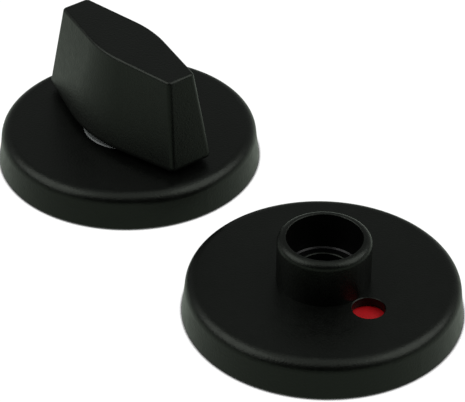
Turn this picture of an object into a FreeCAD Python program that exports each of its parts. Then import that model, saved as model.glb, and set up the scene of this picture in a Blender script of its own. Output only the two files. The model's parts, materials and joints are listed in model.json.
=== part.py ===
import FreeCAD, Part
import math
import os

# Bathroom lock set, shown as its two halves side by side on their backs.
# Millimetres, +Z away from the door, z = 0 on the door's face.
# X runs from the thumb-turn half to the release half, origin midway between their axes.

Vector = FreeCAD.Vector

# Places of the two halves, and how far each is turned about its own axis as it stands
halves_gap = 10.6
turn_stand_deg = 1.6
release_stand_deg = 4.6

# Rose covers
rose_d = 52.0
rose_h = 7.2
rose_draft = 6.0
shoulder_r = 2.2
rose_face_t = 1.8
rose_wall_t = 1.6
inner_shoulder_r = 0.8
rim_edge_r = 0.15

# Collar and window of the release rose
collar_wall_t = 1.72
collar_h = 9.25
collar_mouth_r = 0.25
collar_top_land = 0.07
window_d = 6.1
window_land = 0.18
window_edge = 0.12

# Thumb turn, half sizes of its plan at the top and how much each half grows to the bottom
turn_lift = 0.9
turn_h = 18.75
turn_top_half_l = 17.6
turn_top_end_half_t = 3.05
turn_top_slope = 0.19
turn_top_bend_r = 25.0
turn_end_flare = 3.2
turn_side_flare = 1.7
turn_bottom_slope = 0.31
turn_bottom_bend_r = 30.0
turn_corner_r = 1.0
turn_top_edge_r = 0.6
turn_bottom_edge_r = 1.1
turn_boss_wall_t = 1.8

# Shafts, shared by the turn's neck and the release rotor
spindle_square = 6.0
spindle_gap = 0.08
shaft_wall_t = 1.15
shaft_flat_depth = 0.8
shaft_end_z = 0.4
running_gap = 0.05
journal_gap = 0.08
turn_socket_depth = 14.0

# Bushes, each with its flange behind the rose's face
turn_bush_d = 18.5
turn_bush_proud = 0.05
release_bush_wall_t = 1.5
release_bush_l = 3.75
bush_flange_w = 1.2
bush_flange_t = 0.9
bush_edge = 0.3
bush_lip_t = 0.15
bush_dish_depth = 0.25
bush_seat_gap = 0.03
bush_face_gap = 0.05

# Release rotor's face, measured down from the bush's top
rotor_drop = 0.1
rotor_rim_t = 0.6
rotor_dish_depth = 2.4
rotor_web_t = 1.1
coin_slot_w = 1.6
coin_slot_land = 0.5
coin_slot_depth = 1.0
rotor_edge = 0.15

# Base plates
base_gap = 0.2
base_edge = 0.4
base_wall_t = 2.0
base_skin_t = 1.4
rib_t = 1.4
hub_wall_t = 2.0
ring_room = 0.9
stop_pocket_w = 1.8
stop_play_deg = 2.0
fixing_edge_l = 5.2
fixing_hole_d = 4.5
fixing_head_d = 8.2
fixing_boss_wall_t = 0.2
key_w = 3.0
key_t = 1.2
key_gap = 0.2
key_bottom_z = 1.2

# Indicator
chamber_gap = 0.3
chamber_seat_t = 0.1
chamber_seat_edge = 0.5
indicator_edge = 0.3
indicator_t = 1.1
indicator_gap = 0.4
indicator_hub_edge = 0.6
indicator_lift = 0.05
sector_margin = 0.3
sector_half_deg = 38.0
sector_border_deg = 2.0
sector_t = 0.45
sector_proud = 0.05
sector_gap = 0.05
quarter_turn_deg = 90.0
stop_edge_deg = 3.0

# Small steel and brass pieces
ring_t = 0.65
ring_lift = 0.2
ring_groove_depth = 0.45
ring_groove_gap = 0.05
ring_band = 1.6
ring_lug_r = 1.45
ring_lug_hole_d = 1.3
ring_opening_deg = 34.0
stop_plate_t = 0.8
stop_tab_w = 4.0
spring_t = 0.35
spring_h = 0.8
spring_side_gap = 0.3
spring_bore_gap = 0.4
thrust_washer_t = 0.3
washer_side_gap = 0.4
stack_gap = 0.05
snap_wire_d = 1.2
snap_z = 2.6
snap_bite = 0.3
snap_gap = 0.1
snap_opening_deg = 26.0
insert_bore_d = 3.3
insert_wall_t = 0.85
insert_waist_depth = 0.35
insert_l = 3.4
insert_lift = 0.15
insert_band_l = 1.0
insert_gap = 0.02

# Diameters and plan places worked out from the sizes above
axis_spacing = rose_d + halves_gap
socket_side = spindle_square + 2 * spindle_gap
shaft_d = math.sqrt(2) * socket_side + 2 * shaft_wall_t
shaft_flat_half = shaft_d / 2 - shaft_flat_depth
collar_lip_r = collar_wall_t - collar_mouth_r - collar_top_land
turn_bottom_half_l = turn_top_half_l + turn_end_flare
turn_bottom_end_half_t = turn_top_end_half_t + turn_side_flare
turn_boss_d = shaft_d + 2 * turn_boss_wall_t
turn_bush_flange_d = turn_bush_d + 2 * bush_flange_w
release_bush_d = shaft_d + 2 * release_bush_wall_t
release_bush_flange_d = release_bush_d + 2 * bush_flange_w
collar_d = release_bush_d + 2 * collar_wall_t
coin_slot_l = shaft_d - 2 * (rotor_rim_t + coin_slot_land)
window_offset = collar_d / 2 + window_land + window_d / 2
sector_inner_d = 2 * (window_offset - window_d / 2 - sector_margin)
sector_outer_d = 2 * (window_offset + window_d / 2 + sector_margin)
indicator_hub_d = sector_inner_d - 2 * indicator_hub_edge
indicator_d = sector_outer_d + 2 * indicator_edge
chamber_d = indicator_d + 2 * chamber_gap
chamber_seat_d = indicator_hub_d - 2 * chamber_seat_edge
stop_inner_d = indicator_hub_d + 2 * chamber_gap
ring_groove_d = shaft_d - 2 * ring_groove_depth
recess_d = ring_groove_d + 4 * ring_lug_r + ring_room
stop_pocket_d = recess_d + 2 * stop_pocket_w
stop_tab_d = stop_pocket_d - 2 * spring_side_gap
stop_plate_d = recess_d - 2 * washer_side_gap
thrust_washer_d = recess_d - 2 * washer_side_gap
spring_d = recess_d - 2 * spring_side_gap
spring_bore_d = shaft_d + 2 * spring_bore_gap
insert_d = insert_bore_d + 2 * insert_wall_t
insert_waist_d = insert_d - 2 * insert_waist_depth
base_r = rose_d / 2 - rose_wall_t - base_gap
fixing_pitch = 2 * (base_r - fixing_edge_l)
fixing_boss_d = fixing_head_d + 2 * fixing_boss_wall_t

# Levels worked out from the sizes above
rose_under_z = rose_h - rose_face_t
base_top_z = rose_under_z - base_gap
collar_top_z = rose_h + collar_h
turn_bottom_z = rose_h + turn_lift
turn_top_z = turn_bottom_z + turn_h
ring_bottom_z = shaft_end_z + ring_lift
ring_top_z = ring_bottom_z + ring_t
stop_plate_z = ring_top_z + stack_gap
turn_spring_z = stop_plate_z + stop_plate_t + stack_gap
turn_roof_z = turn_spring_z + spring_h + stack_gap
thrust_washer_z = ring_top_z + stack_gap
release_spring_z = thrust_washer_z + thrust_washer_t + stack_gap
release_roof_z = release_spring_z + spring_h + stack_gap
turn_bush_z = rose_under_z - bush_face_gap - bush_flange_t
release_bush_z = rose_under_z + bush_face_gap
release_bush_top_z = release_bush_z + release_bush_l
rotor_top_z = release_bush_top_z - rotor_drop
rotor_socket_depth = rotor_top_z - rotor_dish_depth - coin_slot_depth - rotor_web_t - shaft_end_z
turn_bush_top_z = rose_h + turn_bush_proud
indicator_top_z = rose_under_z - indicator_gap
indicator_z = indicator_top_z - indicator_t
chamber_floor_z = indicator_z - indicator_lift - chamber_seat_t
draft_slope = math.tan(math.radians(rose_draft))
insert_top_z = insert_lift + insert_l
snap_centre_r = base_r + base_gap - snap_z * draft_slope + snap_bite - snap_wire_d / 2
overshoot = 1.0


def rod(diameter, bottom, top, x=0.0, y=0.0):
    return Part.makeCylinder(diameter / 2, top - bottom, Vector(x, y, bottom))


def tube(outer_d, inner_d, bottom, top):
    return rod(outer_d, bottom, top).cut(rod(inner_d, bottom - overshoot, top + overshoot))


def block(length, width, bottom, top, x=0.0, y=0.0):
    corner = Vector(x - length / 2, y - width / 2, bottom)
    return Part.makeBox(length, width, top - bottom, corner)


def drafted(radius_at_door, bottom, top):
    low = radius_at_door - bottom * draft_slope
    high = radius_at_door - top * draft_slope
    return Part.makeCone(low, high, top - bottom, Vector(0, 0, bottom))


def turned(shape, degrees):
    copy = shape.copy()
    copy.rotate(Vector(0, 0, 0), Vector(0, 0, 1), degrees)
    return copy


def sector(outer_d, inner_d, bottom, top, from_deg, to_deg):
    """Ring piece between two angles, counted from +X."""
    across = Part.makeLine(Vector(inner_d / 2, 0, bottom), Vector(outer_d / 2, 0, bottom))
    face = across.revolve(Vector(0, 0, 0), Vector(0, 0, 1), to_deg - from_deg)
    return turned(face.extrude(Vector(0, 0, top - bottom)), from_deg)


def circle_edges(shape, diameter, z, x=0.0):
    """Circular edges of this diameter at this height, about an upright axis at x."""
    found = []
    for edge in shape.Edges:
        if not isinstance(edge.Curve, Part.Circle):
            continue
        centre = edge.Curve.Center
        on_axis = math.hypot(centre.x - x, centre.y) < 0.001
        if on_axis and abs(centre.z - z) < 0.001 and abs(edge.Curve.Radius - diameter / 2) < 0.001:
            found.append(edge)
    return found


def flats(bottom, top):
    """What is cut from a round shaft to leave two flats, square to X."""
    whole = rod(shaft_d + 2 * overshoot, bottom, top)
    return whole.cut(block(2 * shaft_flat_half, shaft_d + 4 * overshoot, bottom, top))


def keyed_hole(bottom, top, gap):
    """Double-D hole that fits over the shaft's flats."""
    width = 2 * (shaft_flat_half + gap)
    return rod(shaft_d + 2 * gap, bottom, top).common(
        block(width, shaft_d + 2 * overshoot, bottom, top))


def shaft(top):
    """Round shaft with the ring's groove and the square socket's place at its end."""
    groove = tube(shaft_d + 2 * overshoot, ring_groove_d,
                  ring_bottom_z - ring_groove_gap, ring_top_z + ring_groove_gap)
    return rod(shaft_d, shaft_end_z, top).cut(groove)


def socket(depth):
    return block(socket_side, socket_side, shaft_end_z - overshoot, shaft_end_z + depth)


def rose_blank():
    """Solid outer form of a rose, with its rounded shoulder."""
    solid = drafted(rose_d / 2, 0, rose_h)
    top_d = rose_d - 2 * rose_h * draft_slope
    solid = solid.makeFillet(shoulder_r, circle_edges(solid, top_d, rose_h))
    return solid.makeChamfer(rim_edge_r, circle_edges(solid, rose_d, 0))


def rose_hollow():
    """Space inside a rose, with the groove that its snap ring springs into."""
    wall_r = rose_d / 2 - rose_wall_t
    inside = drafted(wall_r, -overshoot, rose_under_z)
    top_d = 2 * (wall_r - rose_under_z * draft_slope)
    inside = inside.makeFillet(inner_shoulder_r, circle_edges(inside, top_d, rose_under_z))
    groove = Part.makeTorus(snap_centre_r, snap_wire_d / 2 + snap_gap, Vector(0, 0, snap_z))
    return inside.fuse(groove)


def rose_key():
    """Rib inside the rose that stops it turning on its plate."""
    wall_r = rose_d / 2 - rose_wall_t
    rib = block(2 * key_t, key_w, key_bottom_z, rose_under_z + overshoot / 2, -wall_r)
    return rib.common(drafted(wall_r + overshoot / 2, 0, rose_h))


def turn_rose():
    shell = rose_blank().cut(rose_hollow())
    shell = shell.fuse(rose_key())
    hole = rod(turn_bush_d + 2 * bush_seat_gap, 0, rose_h + overshoot)
    return shell.cut(hole)


def release_rose():
    collar = rod(collar_d, rose_under_z, collar_top_z)
    solid = rose_blank().fuse(collar).removeSplitter()
    solid = solid.makeFillet(collar_lip_r, circle_edges(solid, collar_d, collar_top_z))
    shell = solid.cut(rose_hollow()).fuse(rose_key())
    bore_d = release_bush_d + 2 * bush_seat_gap
    shell = shell.cut(rod(bore_d, 0, collar_top_z + overshoot))
    shell = shell.makeFillet(collar_mouth_r, circle_edges(shell, bore_d, collar_top_z))
    flange_seat_top = release_bush_z + bush_flange_t + bush_face_gap
    shell = shell.cut(rod(release_bush_flange_d + 2 * bush_seat_gap, 0, flange_seat_top))
    shell = shell.cut(rod(window_d, 0, rose_h + overshoot, window_offset))
    return shell.makeChamfer(window_edge, circle_edges(shell, window_d, rose_h, window_offset))


def base_blank():
    """Whole outer form of a base plate, its top edge bevelled to clear the rose's inner corner."""
    blank = drafted(base_r, 0, base_top_z)
    top_d = 2 * (base_r - base_top_z * draft_slope)
    return blank.makeChamfer(base_edge, circle_edges(blank, top_d, base_top_z))


def base_rim():
    """Outer wall of a base plate and the skin that closes it towards the rose."""
    core_r = base_r - base_wall_t
    return base_blank().cut(drafted(core_r, -overshoot, base_top_z - base_skin_t))


def base_notches():
    """Groove for the snap ring and notch for the rose's key, cut from a whole plate."""
    reach = snap_wire_d / 2 + snap_gap
    groove = tube(rose_d, 2 * (snap_centre_r - reach), snap_z - reach, snap_z + reach)
    notch = block(2 * (key_t + base_gap + key_gap), key_w + 2 * key_gap,
                  -overshoot, base_top_z + overshoot, -base_r)
    return groove.fuse(notch)


def ribs(inner_r, bottom, top, angles):
    """Straight ribs from the hub out to the rim."""
    outer_r = base_r - base_wall_t / 2 - base_top_z * draft_slope
    rib = block(outer_r - inner_r, rib_t, bottom, top, (inner_r + outer_r) / 2)
    joined = turned(rib, angles[0])
    for angle in angles[1:]:
        joined = joined.fuse(turned(rib, angle))
    return joined


def fixing_places():
    return [(0.0, fixing_pitch / 2), (0.0, -fixing_pitch / 2)]


def turn_base_plate():
    hub_d = max(stop_pocket_d, turn_bush_flange_d) + 2 * hub_wall_t
    hub = rod(hub_d, 0, base_top_z)
    plate = base_rim().fuse(hub)
    plate = plate.fuse(ribs((hub_d - hub_wall_t) / 2, 0, base_top_z - base_skin_t / 2,
                            [30, 60, 120, 150, 210, 240, 300, 330]))
    for x, y in fixing_places():
        plate = plate.fuse(rod(fixing_boss_d, 0, base_top_z, x, y))
    plate = plate.common(base_blank())
    for x, y in fixing_places():
        plate = plate.cut(fixing_hole(x, y))
    plate = plate.cut(rod(shaft_d + 2 * journal_gap, 0, base_top_z + overshoot))
    plate = plate.cut(rod(turn_bush_flange_d + 2 * base_gap, turn_bush_z - bush_face_gap,
                          base_top_z + overshoot))
    plate = plate.cut(rod(recess_d, -overshoot, turn_roof_z))
    plate = plate.cut(stop_pocket())
    return plate.cut(base_notches()).removeSplitter()


def fixing_hole(x, y):
    """Screw hole with its countersink towards the rose."""
    hole = rod(fixing_hole_d, -overshoot, base_top_z + overshoot, x, y)
    sink_depth = (fixing_head_d - fixing_hole_d) / 2
    sink = Part.makeCone(fixing_hole_d / 2, fixing_head_d / 2, sink_depth,
                         Vector(x, y, base_top_z - sink_depth))
    return hole.fuse(sink)


def tab_half_deg():
    """Half the tab's angle where it crosses the round recess, which is its widest."""
    return math.degrees(math.asin(stop_tab_w / recess_d))


def stop_pocket():
    """Room for the stop plate's tab over its quarter turn."""
    start = 180.0 - tab_half_deg() - stop_play_deg
    end = 180.0 + quarter_turn_deg + tab_half_deg() + stop_play_deg
    return sector(stop_pocket_d, recess_d - overshoot, -overshoot, turn_roof_z, start, end)


def release_base_plate():
    chamber_wall = rod(chamber_d + 2 * base_skin_t, release_roof_z, base_top_z)
    hub = rod(recess_d + 2 * hub_wall_t, 0, base_top_z)
    plate = base_rim().fuse([chamber_wall, hub])
    plate = plate.fuse(ribs(recess_d / 2 + hub_wall_t / 2, 0, base_top_z - base_skin_t / 2,
                            [0, 30, 60, 120, 150, 180, 210, 240, 300, 330]))
    for x, y in fixing_places():
        plate = plate.fuse(rod(fixing_boss_d, 0, base_top_z, x, y))
    plate = plate.common(base_blank())
    plate = plate.cut(rod(chamber_d, chamber_floor_z, base_top_z + overshoot))
    seat_top = chamber_floor_z + chamber_seat_t
    plate = plate.fuse([rod(chamber_seat_d, release_roof_z, seat_top), indicator_stop()])
    plate = plate.cut(rod(shaft_d + 2 * journal_gap, 0, base_top_z))
    plate = plate.cut(rod(recess_d, -overshoot, release_roof_z))
    for x, y in fixing_places():
        plate = plate.cut(rod(insert_d + 2 * insert_gap, -overshoot, insert_top_z + insert_gap, x, y))
        plate = plate.cut(rod(fixing_hole_d, 0, base_top_z + overshoot, x, y))
    return plate.cut(base_notches()).removeSplitter()


def fan_edges():
    """Angles of the fan's two straight edges: red is centred on the window, white a quarter back."""
    half = sector_half_deg + sector_border_deg
    return -quarter_turn_deg - half, half


def indicator_stop():
    """Block in the chamber that the fan's edges meet at both ends of its quarter turn."""
    start, end = fan_edges()
    return sector(chamber_d + base_skin_t, stop_inner_d, chamber_floor_z - base_skin_t / 2,
                  base_top_z, end + quarter_turn_deg + stop_edge_deg, start + 360 - stop_edge_deg)


def snap_ring():
    """Open ring of round wire, its opening at the key."""
    section = Part.Wire(Part.makeCircle(snap_wire_d / 2, Vector(snap_centre_r, 0, snap_z),
                                        Vector(0, 1, 0)))
    ring = Part.Face(section).revolve(Vector(0, 0, 0), Vector(0, 0, 1), 360 - snap_opening_deg)
    return turned(ring, 180 + snap_opening_deg / 2)


def turn_outline(half_l, end_half_t, slope, bend_r, z):
    """Plan of the turn at one level: flat ends and sides that bend softly at the middle."""
    lean = math.atan(slope)
    apex = end_half_t + slope * half_l
    reach = bend_r * math.sin(lean)
    shoulder = apex - slope * reach
    crown = apex - bend_r * (1 / math.cos(lean) - 1)
    edges = []
    for side in (1, -1):
        corner_a = Vector(side * half_l, side * end_half_t, z)
        bend_a = Vector(side * reach, side * shoulder, z)
        bend_b = Vector(-side * reach, side * shoulder, z)
        corner_b = Vector(-side * half_l, side * end_half_t, z)
        corner_c = Vector(-side * half_l, -side * end_half_t, z)
        edges.append(Part.makeLine(corner_a, bend_a))
        edges.append(Part.Arc(bend_a, Vector(0, side * crown, z), bend_b).toShape())
        edges.append(Part.makeLine(bend_b, corner_b))
        edges.append(Part.makeLine(corner_b, corner_c))
    return Part.Wire(edges)


def turn_body():
    """Tapered wedge of the turn, with its edges rounded."""
    low = turn_outline(turn_bottom_half_l, turn_bottom_end_half_t, turn_bottom_slope,
                       turn_bottom_bend_r, turn_bottom_z)
    high = turn_outline(turn_top_half_l, turn_top_end_half_t, turn_top_slope,
                        turn_top_bend_r, turn_top_z)
    solid = Part.makeLoft([low, high], True, True)
    corners = []
    for edge in solid.Edges:
        box = edge.BoundBox
        if box.ZLength > 1 and abs(edge.CenterOfMass.x) > turn_top_half_l - overshoot:
            corners.append(edge)
    solid = solid.makeFillet(turn_corner_r, corners)
    solid = solid.makeFillet(turn_top_edge_r, level_edges(solid, turn_top_z))
    return solid.makeFillet(turn_bottom_edge_r, level_edges(solid, turn_bottom_z))


def level_edges(shape, z):
    found = []
    for edge in shape.Edges:
        box = edge.BoundBox
        if abs(box.ZMin - z) < 0.001 and abs(box.ZMax - z) < 0.001:
            found.append(edge)
    return found


def thumb_turn():
    neck = shaft(turn_bottom_z + overshoot).cut(flats(shaft_end_z, turn_spring_z - stack_gap / 2))
    boss = rod(turn_boss_d, turn_bush_top_z + bush_face_gap, turn_bottom_z + overshoot)
    return turn_body().fuse([neck, boss]).cut(socket(turn_socket_depth)).removeSplitter()


def bush(body_d, flange_d, bottom, top):
    """Flanged bush, bored for the shaft."""
    body = rod(body_d, bottom, top).fuse(rod(flange_d, bottom, bottom + bush_flange_t))
    return body.cut(rod(shaft_d + 2 * running_gap, bottom - overshoot, top + overshoot))


def turn_bush():
    """Bush with a bevelled top edge."""
    body = bush(turn_bush_d, turn_bush_flange_d, turn_bush_z, turn_bush_top_z)
    return body.makeChamfer(bush_edge, circle_edges(body, turn_bush_d, turn_bush_top_z))


def release_bush():
    """Bush whose top is dished inside a thin lip."""
    body = bush(release_bush_d, release_bush_flange_d, release_bush_z, release_bush_top_z)
    high = release_bush_d / 2 - bush_lip_t
    dish = Part.makeCone(high - bush_dish_depth, high, bush_dish_depth,
                         Vector(0, 0, release_bush_top_z - bush_dish_depth))
    return body.cut(dish)


def spring_washer(bottom):
    """Ring bent over a cylinder that lies along Y."""
    outer_r = spring_d / 2
    rise = spring_h - spring_t
    bend_r = (outer_r ** 2 + rise ** 2) / (2 * rise)
    centre = Vector(0, -spring_d, bottom + rise - bend_r)
    along = Vector(0, 1, 0)
    sheet = Part.makeCylinder(bend_r + spring_t, 2 * spring_d, centre, along)
    sheet = sheet.cut(Part.makeCylinder(bend_r, 2 * spring_d, centre, along))
    return sheet.common(tube(spring_d, spring_bore_d, bottom - overshoot, bottom + 2 * overshoot))


def stop_plate():
    """Keyed plate whose tab meets the pocket's ends."""
    top = stop_plate_z + stop_plate_t
    tab = block(stop_tab_d / 2, stop_tab_w, stop_plate_z, top, -stop_tab_d / 4)
    tab = tab.common(rod(stop_tab_d, stop_plate_z, top))
    plate = rod(stop_plate_d, stop_plate_z, top).fuse(tab).removeSplitter()
    return plate.cut(keyed_hole(stop_plate_z - overshoot, top + overshoot, running_gap))


def retaining_ring():
    """Circlip in the shaft's groove, with its two eyes at the opening."""
    band = rod(ring_groove_d + 2 * ring_band, ring_bottom_z, ring_top_z)
    eye_r = ring_groove_d / 2 + ring_lug_r - ring_groove_gap
    for side in (1, -1):
        angle = math.radians(180 + side * (ring_opening_deg / 2 + 8))
        x = eye_r * math.cos(angle)
        y = eye_r * math.sin(angle)
        band = band.fuse(rod(2 * ring_lug_r, ring_bottom_z, ring_top_z, x, y))
        band = band.cut(rod(ring_lug_hole_d, ring_bottom_z - overshoot, ring_top_z + overshoot, x, y))
    band = band.cut(rod(ring_groove_d + 2 * ring_groove_gap, 0, ring_top_z + overshoot))
    half = ring_opening_deg / 2
    gap = sector(2 * recess_d, 1, 0, ring_top_z + overshoot, 180 - half, 180 + half)
    return band.cut(gap)


def thrust_washer():
    return tube(thrust_washer_d, shaft_d + 2 * running_gap, thrust_washer_z,
                thrust_washer_z + thrust_washer_t)


def release_rotor():
    body = shaft(rotor_top_z)
    body = body.makeChamfer(rotor_edge, circle_edges(body, shaft_d, rotor_top_z))
    body = body.cut(flats(shaft_end_z, indicator_top_z + stack_gap))
    dish_floor = rotor_top_z - rotor_dish_depth
    dish_d = shaft_d - 2 * rotor_rim_t
    body = body.cut(rod(dish_d, dish_floor, rotor_top_z + overshoot))
    body = body.makeChamfer(rotor_edge, circle_edges(body, dish_d, rotor_top_z))
    slot = block(coin_slot_w, coin_slot_l, dish_floor - coin_slot_depth, rotor_top_z)
    slot = slot.common(rod(coin_slot_l, 0, rotor_top_z))
    return body.cut(slot).cut(socket(rotor_socket_depth))


def indicator_disc():
    """Fan on a keyed hub, with a shallow bed for each colour."""
    start, end = fan_edges()
    fan = sector(indicator_d, indicator_hub_d - overshoot, indicator_z, indicator_top_z, start, end)
    disc = rod(indicator_hub_d, indicator_z, indicator_top_z).fuse(fan).removeSplitter()
    disc = disc.cut(keyed_hole(indicator_z - overshoot, indicator_top_z + overshoot, running_gap))
    for centre_deg in (0.0, -quarter_turn_deg):
        disc = disc.cut(sector_bed(centre_deg))
    return disc


def sector_bed(centre_deg):
    half = sector_half_deg
    floor = indicator_top_z + sector_proud - sector_t
    return sector(sector_outer_d + 2 * sector_gap, sector_inner_d - 2 * sector_gap,
                  floor, indicator_top_z + overshoot, centre_deg - half, centre_deg + half)


def colour_sector(centre_deg):
    """Coloured face that lies in its bed and stands a hair proud of it."""
    mean_r = (sector_outer_d + sector_inner_d) / 4
    half = sector_half_deg - math.degrees(sector_gap / mean_r)
    top = indicator_top_z + sector_proud
    return sector(sector_outer_d, sector_inner_d, top - sector_t, top,
                  centre_deg - half, centre_deg + half)


def threaded_inserts():
    """Two brass inserts, each with a waist between two bands."""
    made = []
    top = insert_top_z
    for x, y in fixing_places():
        body = rod(insert_waist_d, insert_lift, top, x, y)
        body = body.fuse(rod(insert_d, insert_lift, insert_lift + insert_band_l, x, y))
        body = body.fuse(rod(insert_d, top - insert_band_l, top, x, y))
        made.append(body.cut(rod(insert_bore_d, 0, base_top_z, x, y)).removeSplitter())
    return Part.makeCompound(made)


def save(name, shape, axis_x, stand_deg):
    """Writes a piece of the half whose axis is at axis_x, turned as that half stands."""
    placed = turned(shape, stand_deg)
    placed.translate(Vector(axis_x, 0, 0))
    placed.exportStep("parts/" + name + ".step")
    print(name, placed.isValid(), len(placed.Solids), round(placed.Volume, 2))


def turn_half():
    return {
        "turn_rose": turn_rose(),
        "turn_base_plate": turn_base_plate(),
        "turn_snap_ring": snap_ring(),
        "thumb_turn": thumb_turn(),
        "turn_bush": turn_bush(),
        "turn_spring_washer": spring_washer(turn_spring_z),
        "turn_stop_plate": stop_plate(),
        "turn_retaining_ring": retaining_ring(),
    }


def release_half():
    return {
        "release_rose": release_rose(),
        "release_base_plate": release_base_plate(),
        "release_snap_ring": snap_ring(),
        "release_bush": release_bush(),
        "release_rotor": release_rotor(),
        "indicator_disc": indicator_disc(),
        "red_sector": colour_sector(0.0),
        "white_sector": colour_sector(-quarter_turn_deg),
        "release_spring_washer": spring_washer(release_spring_z),
        "release_thrust_washer": thrust_washer(),
        "release_retaining_ring": retaining_ring(),
        "threaded_inserts": threaded_inserts(),
    }


def main():
    os.makedirs("parts", exist_ok=True)
    for name, shape in turn_half().items():
        save(name, shape, -axis_spacing / 2, turn_stand_deg)
    for name, shape in release_half().items():
        save(name, shape, axis_spacing / 2, release_stand_deg)


main()
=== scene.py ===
import json
import math

import bpy
from mathutils import Matrix, Quaternion, Vector


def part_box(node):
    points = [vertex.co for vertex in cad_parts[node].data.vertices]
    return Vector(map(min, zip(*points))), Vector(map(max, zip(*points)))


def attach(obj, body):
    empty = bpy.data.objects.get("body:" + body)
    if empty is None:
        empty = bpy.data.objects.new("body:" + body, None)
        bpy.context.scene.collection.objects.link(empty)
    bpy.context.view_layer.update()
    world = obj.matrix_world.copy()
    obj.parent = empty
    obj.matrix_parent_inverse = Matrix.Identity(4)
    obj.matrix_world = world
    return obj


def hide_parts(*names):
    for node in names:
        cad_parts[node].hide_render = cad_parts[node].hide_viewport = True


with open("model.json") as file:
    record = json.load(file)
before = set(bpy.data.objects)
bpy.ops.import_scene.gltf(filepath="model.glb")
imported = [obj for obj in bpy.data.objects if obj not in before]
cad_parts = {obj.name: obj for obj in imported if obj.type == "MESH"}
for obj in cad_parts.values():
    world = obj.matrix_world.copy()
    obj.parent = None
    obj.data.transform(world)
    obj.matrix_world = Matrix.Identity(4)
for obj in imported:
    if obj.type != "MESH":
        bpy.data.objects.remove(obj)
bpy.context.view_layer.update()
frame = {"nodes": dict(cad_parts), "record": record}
nodes = frame["nodes"]

MM = 0.001

# Camera, fitted to the outlines of both roses in the photograph

PHOTO_WIDTH = 465
SENSOR_WIDTH = 36.0
CAMERA_PLACE = Vector((308.2, -228.3, 281.6)) * MM
CAMERA_AZIMUTH = math.radians(53.17)
CAMERA_ELEVATION = math.radians(35.67)
CAMERA_ROLL = 0.0067
FOCAL_PIXELS = 2463.2

# Finishes: the tones are a dark and a light one, and the finish drifts between them

COAT_TONES = ((0.0004, 0.0005, 0.0004), (0.0008, 0.0009, 0.0008))
COAT_ROUGHNESS = (0.33, 0.40)
COAT_GLOSS = 0.22
COAT_TINT = (0.90, 1.0, 0.87)
BLACK_NYLON_TONES = ((0.009, 0.009, 0.010), (0.014, 0.014, 0.015))
BORE_NYLON_TONES = ((0.0005, 0.0005, 0.0006), (0.0010, 0.0010, 0.0011))
GREY_NYLON_TONES = ((0.10, 0.11, 0.108), (0.13, 0.14, 0.138))
NYLON_UNEVENNESS = 0.05
SPRING_STEEL_TONE = (0.16, 0.16, 0.165)
ZINC_TONE = (0.55, 0.57, 0.58)
BRASS_TONE = (0.72, 0.50, 0.20)
METAL_DARK_SHARE = 0.85
METAL_UNEVENNESS = 0.08
RED_TONES = ((0.35, 0.004, 0.007), (0.40, 0.006, 0.009))
WHITE_TONES = ((0.76, 0.76, 0.74), (0.84, 0.84, 0.82))
INDICATOR_ROUGHNESS = (0.36, 0.44)
INDICATOR_GLOSS = 0.35
NOISE_MIDDLE = (0.3, 0.7)

# Threaded inserts, M4

INSERT_MOUNTS = ("insert_a", "insert_b")
INSERT_SIDES = 48
INSERT_BAND = 1.0 * MM
INSERT_WAIST_DEPTH = 0.35 * MM
KNURL_DEPTH = 0.12 * MM
THREAD_PITCH = 0.7 * MM
THREAD_DEPTH = 0.3 * MM
THREAD_LEAD = 0.3 * MM
ROWS_PER_PITCH = 6
MERGE_DISTANCE = 0.001 * MM
RADIUS_TOLERANCE = 0.02 * MM
UPRIGHT_TOLERANCE = 0.1

# Floor, whose lift is a radiance where white is 1

FLOOR_SIZE = 6.0
FLOOR_COLOUR = 0.08
FLOOR_LIFT = 0.98
GLOSS_LIFT = 0.6
GLOSS_TINT = (0.87, 1.0, 0.85)
# Reach of the painted contact shadow: the camera's lift of the floor fades out this close to each rose
PAINTED_SHADOW_REACH = 0.85 * MM
SHADOW_SAMPLES = 8
OPENNESS_SPAN = (0.6, 0.85)

# Light, as radiance, with places in metres from the origin: to the camera's right, away from it and up

DARK_END = 0.004
PALE_END = 0.25
ROOM_SPAN = (-0.6, 0.6)
ROOM_TINT = (0.95, 1.0, 0.97)
OVERHEAD_PLACE = (0, -0.14, 0.9)
OVERHEAD_TARGET = (0, -0.14, 0)
OVERHEAD_SIZE = (1.0, 1.0)
OVERHEAD_RADIANCE = 0.9
SIDE_RIGHT = 0.88
SIDE_AWAY = -0.11
SIDE_UP = 0.80
SIDE_SIZE = (1.2, 1.0)
SIDE_RADIANCE = 2.8


def add_camera():
    data = bpy.data.cameras.new("camera")
    data.sensor_width = SENSOR_WIDTH
    data.lens = FOCAL_PIXELS / PHOTO_WIDTH * SENSOR_WIDTH
    camera = bpy.data.objects.new("camera", data)
    bpy.context.scene.collection.objects.link(camera)
    ahead = Vector((-math.sin(CAMERA_AZIMUTH) * math.cos(CAMERA_ELEVATION),
                    math.cos(CAMERA_AZIMUTH) * math.cos(CAMERA_ELEVATION),
                    -math.sin(CAMERA_ELEVATION)))
    level = ahead.to_track_quat("-Z", "Y")
    camera.rotation_mode = "QUATERNION"
    camera.rotation_quaternion = level @ Quaternion((0, 0, 1), CAMERA_ROLL)
    camera.location = CAMERA_PLACE
    bpy.context.scene.camera = camera


# Materials

def new_material(name):
    material = bpy.data.materials.new(name)
    material.use_nodes = True
    tree = material.node_tree
    shader = tree.nodes["Principled BSDF"]
    return material, tree, shader


def grain(tree, feature, detail=2.0):
    """Noise whose features are about this many metres across."""
    coordinates = tree.nodes.new("ShaderNodeTexCoord")
    noise = tree.nodes.new("ShaderNodeTexNoise")
    noise.inputs["Scale"].default_value = 1.0 / feature
    noise.inputs["Detail"].default_value = detail
    tree.links.new(coordinates.outputs["Object"], noise.inputs["Vector"])
    return noise.outputs["Fac"]


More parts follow.
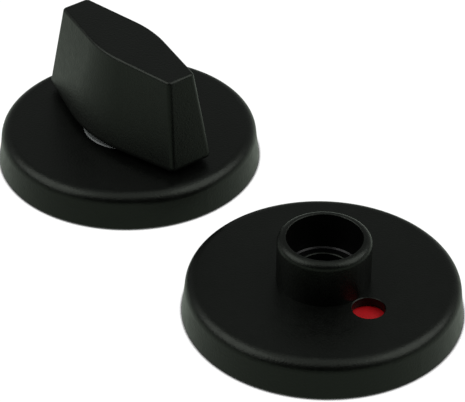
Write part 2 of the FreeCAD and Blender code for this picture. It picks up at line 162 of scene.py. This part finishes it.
def remapped(tree, value, low, high, span=NOISE_MIDDLE):
    """The value's span spread from low to high, and held there beyond it."""
    spread = tree.nodes.new("ShaderNodeMapRange")
    spread.inputs["From Min"].default_value = span[0]
    spread.inputs["From Max"].default_value = span[1]
    spread.inputs["To Min"].default_value = low
    spread.inputs["To Max"].default_value = high
    tree.links.new(value, spread.inputs["Value"])
    return spread.outputs["Result"]


def blended(tree, value, first, second):
    """The first colour where the value is 0, the second where it is 1."""
    mix = tree.nodes.new("ShaderNodeMix")
    mix.data_type = "RGBA"
    mix.inputs["A"].default_value = (*first, 1)
    mix.inputs["B"].default_value = (*second, 1)
    tree.links.new(value, mix.inputs["Factor"])
    return mix.outputs["Result"]


def summed(tree, first, second, share):
    """The first value and a share of the second."""
    add = tree.nodes.new("ShaderNodeMath")
    add.operation = "MULTIPLY_ADD"
    add.inputs[1].default_value = share
    tree.links.new(second, add.inputs[0])
    tree.links.new(first, add.inputs[2])
    return add.outputs["Value"]


def multiplied(tree, first, second):
    product = tree.nodes.new("ShaderNodeMath")
    product.operation = "MULTIPLY"
    tree.links.new(first, product.inputs[0])
    tree.links.new(second, product.inputs[1])
    return product.outputs["Value"]


def drift_in_tone(tree, shader, feature, tones, detail=2.0):
    drift = remapped(tree, grain(tree, feature, detail), 0.0, 1.0)
    tree.links.new(blended(tree, drift, *tones), shader.inputs["Base Color"])


def drift_in_roughness(tree, shader, feature, low, high, detail=2.0):
    drift = remapped(tree, grain(tree, feature, detail), low, high)
    tree.links.new(drift, shader.inputs["Roughness"])


def raised(tree, shader, height, depth, strength):
    bump = tree.nodes.new("ShaderNodeBump")
    bump.inputs["Distance"].default_value = depth
    bump.inputs["Strength"].default_value = strength
    tree.links.new(height, bump.inputs["Height"])
    tree.links.new(bump.outputs["Normal"], shader.inputs["Normal"])


def black_coat():
    """Satin black powder coat: a fine orange peel over a slight drift in tone and gloss."""
    material, tree, shader = new_material("black_coat")
    drift_in_tone(tree, shader, 7 * MM, COAT_TONES)
    drift_in_roughness(tree, shader, 1.6 * MM, *COAT_ROUGHNESS, detail=3.0)
    shader.inputs["Specular IOR Level"].default_value = COAT_GLOSS
    shader.inputs["Specular Tint"].default_value = (*COAT_TINT, 1)
    peel = summed(tree, grain(tree, 0.45 * MM, 1.0), grain(tree, 0.2 * MM, 1.0), share=0.4)
    raised(tree, shader, peel, depth=0.035 * MM, strength=1.0)
    return material


def moulded_nylon(name, tones, roughness, gloss=0.4):
    """Moulded nylon: a faint flow pattern and a fine spark-eroded grain."""
    material, tree, shader = new_material(name)
    drift_in_tone(tree, shader, 3 * MM, tones, detail=3.0)
    drift_in_roughness(tree, shader, 0.8 * MM,
                       roughness - NYLON_UNEVENNESS, roughness + NYLON_UNEVENNESS)
    shader.inputs["Specular IOR Level"].default_value = gloss
    raised(tree, shader, grain(tree, 0.16 * MM), depth=0.01 * MM, strength=0.4)
    return material


def metal(name, tone, roughness):
    """Bare or plated metal: slight patches of tone and a fine unevenness in the gloss."""
    material, tree, shader = new_material(name)
    dark = tuple(METAL_DARK_SHARE * channel for channel in tone)
    drift_in_tone(tree, shader, 1.5 * MM, (dark, tone), detail=3.0)
    drift_in_roughness(tree, shader, 0.3 * MM,
                       roughness - METAL_UNEVENNESS, roughness + METAL_UNEVENNESS)
    shader.inputs["Metallic"].default_value = 1.0
    raised(tree, shader, grain(tree, 0.12 * MM, 1.0), depth=0.004 * MM, strength=0.3)
    return material


def indicator_colour(name, tones):
    """Satin face of the indicator, with a fine moulded skin."""
    material, tree, shader = new_material(name)
    drift_in_tone(tree, shader, 2.5 * MM, tones)
    drift_in_roughness(tree, shader, 0.5 * MM, *INDICATOR_ROUGHNESS)
    shader.inputs["Specular IOR Level"].default_value = INDICATOR_GLOSS
    raised(tree, shader, grain(tree, 0.25 * MM, 1.0), depth=0.006 * MM, strength=0.3)
    return material


def dress(material, *names):
    """Gives the CAD nodes their finish."""
    for name in names:
        slots = nodes[name].material_slots
        if not slots:
            nodes[name].data.materials.append(material)
        for slot in slots:
            slot.material = material


def dress_nodes():
    dress(black_coat(), "turn_rose", "thumb_turn", "release_rose", "release_rotor")
    dress(moulded_nylon("black_nylon", BLACK_NYLON_TONES, roughness=0.55),
          "turn_base_plate", "release_base_plate", "indicator_disc")
    dress(moulded_nylon("bore_nylon", BORE_NYLON_TONES, roughness=0.3, gloss=0.2), "release_bush")
    dress(moulded_nylon("grey_nylon", GREY_NYLON_TONES, roughness=0.45, gloss=0.3), "turn_bush")
    dress(metal("spring_steel", SPRING_STEEL_TONE, roughness=0.4),
          "turn_snap_ring", "release_snap_ring", "turn_spring_washer", "release_spring_washer",
          "turn_retaining_ring", "release_retaining_ring")
    dress(metal("zinc_plated_steel", ZINC_TONE, roughness=0.3),
          "turn_stop_plate", "release_thrust_washer")
    brass = metal("insert_brass", BRASS_TONE, roughness=0.3)
    dress(brass, "threaded_inserts")
    add_inserts(brass)
    dress(indicator_colour("indicator_red", RED_TONES), "red_sector")
    dress(indicator_colour("indicator_white", WHITE_TONES), "white_sector")


# Threaded inserts

def turned(name, profile, sides):
    """A closed ring turned about Z from its section, given as pairs of radius and height."""
    bpy.ops.object.select_all(action="DESELECT")
    radius, height = profile[0]
    bpy.ops.mesh.primitive_circle_add(vertices=sides, radius=radius, location=(0, 0, height))
    ring = bpy.context.object
    ring.name = name
    bpy.ops.object.transform_apply(location=True, rotation=False, scale=False)
    bpy.ops.object.mode_set(mode="EDIT")
    bpy.ops.mesh.select_all(action="SELECT")
    for next_radius, next_height in profile[1:] + profile[:1]:
        rise = next_height - height
        growth = next_radius / radius
        bpy.ops.mesh.extrude_region_move(TRANSFORM_OT_translate={"value": (0, 0, rise)})
        bpy.ops.transform.resize(value=(growth, growth, 1), center_override=(0, 0, next_height))
        radius, height = next_radius, next_height
    bpy.ops.mesh.select_all(action="SELECT")
    bpy.ops.mesh.remove_doubles(threshold=MERGE_DISTANCE)
    bpy.ops.mesh.normals_make_consistent(inside=False)
    bpy.ops.mesh.select_all(action="DESELECT")
    bpy.ops.object.mode_set(mode="OBJECT")
    return ring


def raise_knurl(ring, radius, sides, height):
    """Every other flat at this radius is raised, as the ribs of a straight knurl."""
    flat_radius = radius * math.cos(math.pi / sides)
    for face in ring.data.polygons:
        centre = face.center
        upright = abs(face.normal.z) < UPRIGHT_TOLERANCE
        outward = face.normal.dot(centre) > 0
        on_band = abs(math.hypot(centre.x, centre.y) - flat_radius) < RADIUS_TOLERANCE
        flat = math.floor(math.atan2(centre.y, centre.x) / math.tau * sides)
        face.select = upright and outward and on_band and flat % 2 == 0
    bpy.ops.object.mode_set(mode="EDIT")
    bpy.ops.mesh.select_mode(type="FACE")
    bpy.ops.mesh.extrude_faces_move(TRANSFORM_OT_shrink_fatten={"value": height})
    bpy.ops.mesh.select_all(action="DESELECT")
    bpy.ops.object.mode_set(mode="OBJECT")


def cut_thread(ring, crest, bottom, top):
    """The bore's wall is moved out to a helical groove that fades in at both mouths."""
    for vertex in ring.data.vertices:
        place = vertex.co
        if abs(math.hypot(place.x, place.y) - crest) > RADIUS_TOLERANCE:
            continue
        turn = math.atan2(place.y, place.x) / math.tau
        phase = (place.z / THREAD_PITCH - turn) % 1.0
        inside = min(place.z - bottom, top - place.z)
        fade = min(1.0, max(0.0, inside / THREAD_LEAD))
        depth = THREAD_DEPTH * (1 - abs(2 * phase - 1)) * fade
        widened = (crest + depth) / crest
        place.x *= widened
        place.y *= widened


def insert_profile(bore, outside, bottom, top):
    """Section of an insert: two bands about a waist, and a bore with rows for its thread."""
    band = outside - KNURL_DEPTH
    waist = outside - INSERT_WAIST_DEPTH
    mouth = bore + THREAD_DEPTH
    waist_bottom = bottom + INSERT_BAND
    waist_top = top - INSERT_BAND
    bands = [(mouth, bottom), (band, bottom), (band, waist_bottom), (waist, waist_bottom),
             (waist, waist_top), (band, waist_top), (band, top), (mouth, top)]
    threaded = top - bottom - 2 * THREAD_LEAD
    rows = round(threaded / THREAD_PITCH * ROWS_PER_PITCH)
    thread = [(bore, top - THREAD_LEAD - threaded * row / rows) for row in range(rows + 1)]
    return bands + thread


def add_inserts(material):
    """The two brass inserts with the knurl and the thread that their plain solids leave out."""
    mounts = [mount for mount in frame["record"]["mounts"] if mount["name"] in INSERT_MOUNTS]
    low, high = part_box("threaded_inserts")
    across = abs(mounts[0]["pos_m"][0] - mounts[1]["pos_m"][0])
    outside = (high[0] - low[0] - across) / 2
    bore = mounts[0]["dims"]["r_mm"] * MM
    insert = turned("knurled_inserts", insert_profile(bore, outside, low[2], high[2]), INSERT_SIDES)
    raise_knurl(insert, outside - KNURL_DEPTH, INSERT_SIDES, KNURL_DEPTH)
    cut_thread(insert, bore, low[2] + THREAD_LEAD, high[2] - THREAD_LEAD)
    insert.data.materials.append(material)
    second = insert.copy()
    second.data = insert.data.copy()
    bpy.context.scene.collection.objects.link(second)
    for piece, mount in zip((insert, second), mounts):
        piece.data.transform(Matrix.Translation((mount["pos_m"][0], mount["pos_m"][1], 0)))
    second.select_set(True)
    insert.select_set(True)
    bpy.context.view_layer.objects.active = insert
    bpy.ops.object.join()
    pair = bpy.context.object
    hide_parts("threaded_inserts")
    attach(pair, "base")


# Floor and light

def floor_material():
    """Floor with a dark colour of its own, lifted to white for the camera and less for a gloss.

    The camera's lift fades to nothing round the foot of each rose, where an ambient occlusion mask
    paints a thin contact shadow.
    """
    material, tree, shader = new_material("white_floor")
    shader.inputs["Base Color"].default_value = (FLOOR_COLOUR, FLOOR_COLOUR, FLOOR_COLOUR, 1)
    shader.inputs["Roughness"].default_value = 1.0
    shader.inputs["Specular IOR Level"].default_value = 0.0
    path = tree.nodes.new("ShaderNodeLightPath")
    # Ambient occlusion near the foot of each rose dims the camera's lift, a painted contact shadow
    shadow_occlusion = tree.nodes.new("ShaderNodeAmbientOcclusion")
    shadow_occlusion.samples = SHADOW_SAMPLES
    shadow_occlusion.inputs["Distance"].default_value = PAINTED_SHADOW_REACH
    lift_outside_painted_shadow = remapped(tree, shadow_occlusion.outputs["AO"], 0.0, FLOOR_LIFT, span=OPENNESS_SPAN)
    seen = multiplied(tree, path.outputs["Is Camera Ray"], lift_outside_painted_shadow)
    gloss = summed(tree, path.outputs["Is Glossy Ray"], path.outputs["Is Transmission Ray"], share=1.0)
    tree.links.new(summed(tree, seen, gloss, GLOSS_LIFT), shader.inputs["Emission Strength"])
    tree.links.new(blended(tree, path.outputs["Is Camera Ray"], GLOSS_TINT, (1, 1, 1)),
                   shader.inputs["Emission Color"])
    return material


def add_floor():
    bpy.ops.mesh.primitive_plane_add(size=FLOOR_SIZE, location=(0, 0, 0))
    floor = bpy.context.object
    floor.name = "floor"
    floor.data.materials.append(floor_material())


def photo_side(right, away, up):
    """A place from the origin, as the camera sees it: to its right, away from it and up."""
    rightwards = Vector((math.cos(CAMERA_AZIMUTH), math.sin(CAMERA_AZIMUTH), 0))
    outwards = Vector((-math.sin(CAMERA_AZIMUTH), math.cos(CAMERA_AZIMUTH), 0))
    return right * rightwards + away * outwards + Vector((0, 0, up))


def add_softbox(name, place, target, size, radiance):
    """An area lamp whose face has this radiance."""
    width, height = size
    data = bpy.data.lights.new(name, "AREA")
    data.shape = "RECTANGLE"
    data.size = width
    data.size_y = height
    data.energy = radiance * math.pi * width * height
    lamp = bpy.data.objects.new(name, data)
    bpy.context.scene.collection.objects.link(lamp)
    lamp.location = place
    lamp.rotation_mode = "QUATERNION"
    lamp.rotation_quaternion = (Vector(target) - Vector(place)).to_track_quat("-Z", "Y")


def studio_world():
    """A room that is dark behind the camera and pale behind the lock."""
    world = bpy.data.worlds.new("studio")
    bpy.context.scene.world = world
    world.use_nodes = True
    tree = world.node_tree
    backdrop = tree.nodes["Background"]
    backdrop.inputs["Color"].default_value = (*ROOM_TINT, 1)
    direction = tree.nodes.new("ShaderNodeTexCoord").outputs["Generated"]
    along = tree.nodes.new("ShaderNodeVectorMath")
    along.operation = "DOT_PRODUCT"
    along.inputs[1].default_value = photo_side(0, 1, 0)
    tree.links.new(direction, along.inputs[0])
    strength = remapped(tree, along.outputs["Value"], DARK_END, PALE_END, span=ROOM_SPAN)
    tree.links.new(strength, backdrop.inputs["Strength"])


def light_the_set():
    studio_world()
    add_softbox("overhead_softbox", photo_side(*OVERHEAD_PLACE), photo_side(*OVERHEAD_TARGET),
                OVERHEAD_SIZE, OVERHEAD_RADIANCE)
    for side in (-1, 1):
        add_softbox("side_softbox", photo_side(side * SIDE_RIGHT, SIDE_AWAY, SIDE_UP), (0, 0, 0),
                    SIDE_SIZE, SIDE_RADIANCE)


add_camera()
dress_nodes()
add_floor()
light_the_set()
bpy.context.scene.view_settings.view_transform = "Standard"
